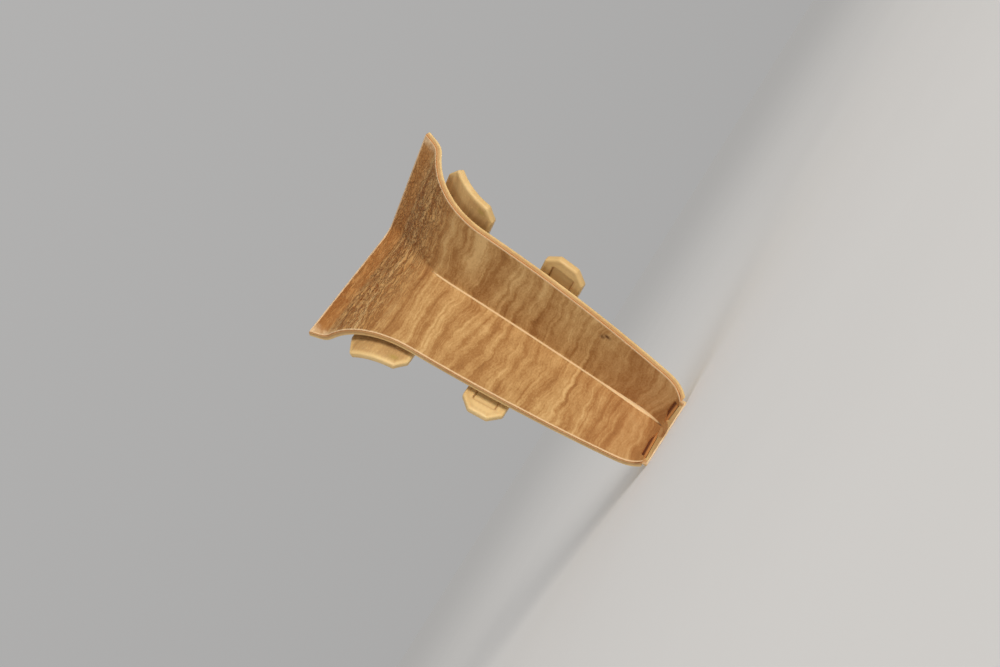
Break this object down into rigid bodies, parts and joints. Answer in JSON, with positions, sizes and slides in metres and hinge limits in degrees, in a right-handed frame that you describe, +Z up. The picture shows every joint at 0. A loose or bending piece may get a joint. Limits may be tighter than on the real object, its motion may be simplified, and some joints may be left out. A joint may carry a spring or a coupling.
{
  "type": "skirting board inside corner fitting",
  "caption": "Two-winged plastic inside corner for a hollow skirting board, wood-print face, with push-in side tongues and a flat foot plate.",
  "frame": {"origin": "the point where the two walls of the room corner meet the floor", "axes": "+Z up along the room corner, +Y into the corner between the walls, so the front faces -Y, and X to the right along the mirror plane's normal"},
  "size_m": [0.04, 0.0346, 0.0589],
  "materials": {
    "shell_plastic": "pale cream moulded plastic, satin",
    "decor_film": "printed wood-grain film, semi-gloss, creased near the top"
  },
  "bodies": {
    "shell": {"left_wing": "shell_plastic", "right_wing": "shell_plastic", "left_decor_film": "decor_film", "right_decor_film": "decor_film", "sole_plate": "shell_plastic", "upper_left_tongue_root": "shell_plastic", "upper_right_tongue_root": "shell_plastic", "lower_left_tongue_root": "shell_plastic", "lower_right_tongue_root": "shell_plastic"},
    "upper_left_tongue": {"upper_left_tongue": "shell_plastic"},
    "upper_right_tongue": {"upper_right_tongue": "shell_plastic"},
    "lower_left_tongue": {"lower_left_tongue": "shell_plastic"},
    "lower_right_tongue": {"lower_right_tongue": "shell_plastic"}
  },
  "joints": [
    {"name": "upper_left_tongue_flex", "type": "hinge", "parent": "shell", "child": "upper_left_tongue", "pos_m": [-0.01083, -0.02134, 0.04655], "axis": [0.3295, -0.3295, -0.8848], "range_deg": [0, 4], "stiffness_Nm_per_rad": 0.15},
    {"name": "upper_right_tongue_flex", "type": "hinge", "parent": "shell", "child": "upper_right_tongue", "pos_m": [0.01083, -0.02134, 0.04655], "axis": [0.3295, 0.3295, 0.8848], "range_deg": [0, 4], "stiffness_Nm_per_rad": 0.15},
    {"name": "lower_left_tongue_flex", "type": "hinge", "parent": "shell", "child": "lower_left_tongue", "pos_m": [-0.00799, -0.02418, 0.0272], "axis": [0.0767, -0.0767, -0.9941], "range_deg": [0, 4], "stiffness_Nm_per_rad": 0.15},
    {"name": "lower_right_tongue_flex", "type": "hinge", "parent": "shell", "child": "lower_right_tongue", "pos_m": [0.00799, -0.02418, 0.0272], "axis": [0.0767, 0.0767, 0.9941], "range_deg": [0, 4], "stiffness_Nm_per_rad": 0.15}
  ]
}
